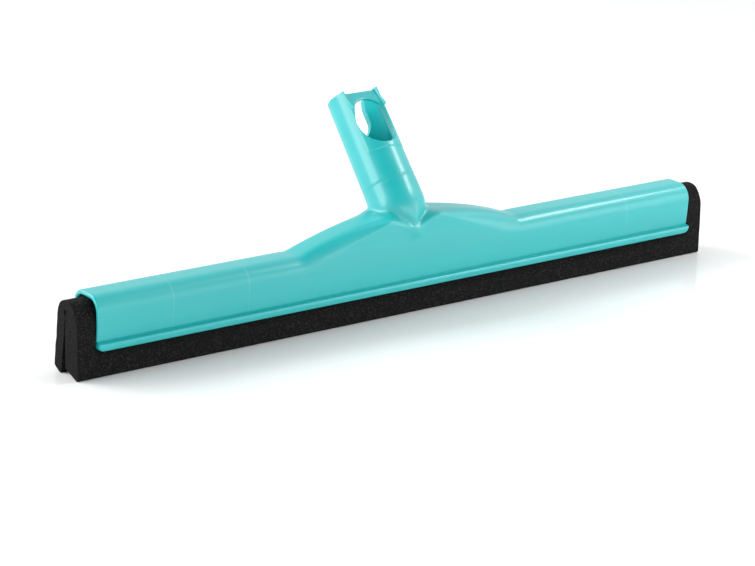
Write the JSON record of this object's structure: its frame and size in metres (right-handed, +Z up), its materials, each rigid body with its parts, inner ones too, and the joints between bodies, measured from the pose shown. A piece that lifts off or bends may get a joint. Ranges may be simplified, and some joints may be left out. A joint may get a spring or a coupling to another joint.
{
  "type": "window cleaning squeegee head",
  "caption": "Turquoise moulded squeegee head, 45 cm wide, with a leaning click socket for a pole and a black double-lip cellular rubber strip.",
  "frame": {"origin": "middle of the underside, on the surface that the lips stand on", "axes": "+X along the strip, +Y towards the back, where the socket leans, +Z up"},
  "size_m": [0.45, 0.0766, 0.1235],
  "materials": {
    "rail_plastic": "gloss",
    "socket_plastic": "gloss",
    "strip_rubber": "matte, fine closed cells"
  },
  "bodies": {
    "head": {"rail_body": "rail_plastic", "click_socket": "socket_plastic"},
    "strip": {"foam_strip": "strip_rubber"}
  },
  "joints": [
    {"name": "strip_slide", "type": "slide", "parent": "head", "child": "strip", "axis": [1, 0, 0], "range_m": [-0.4, 0.4]}
  ]
}
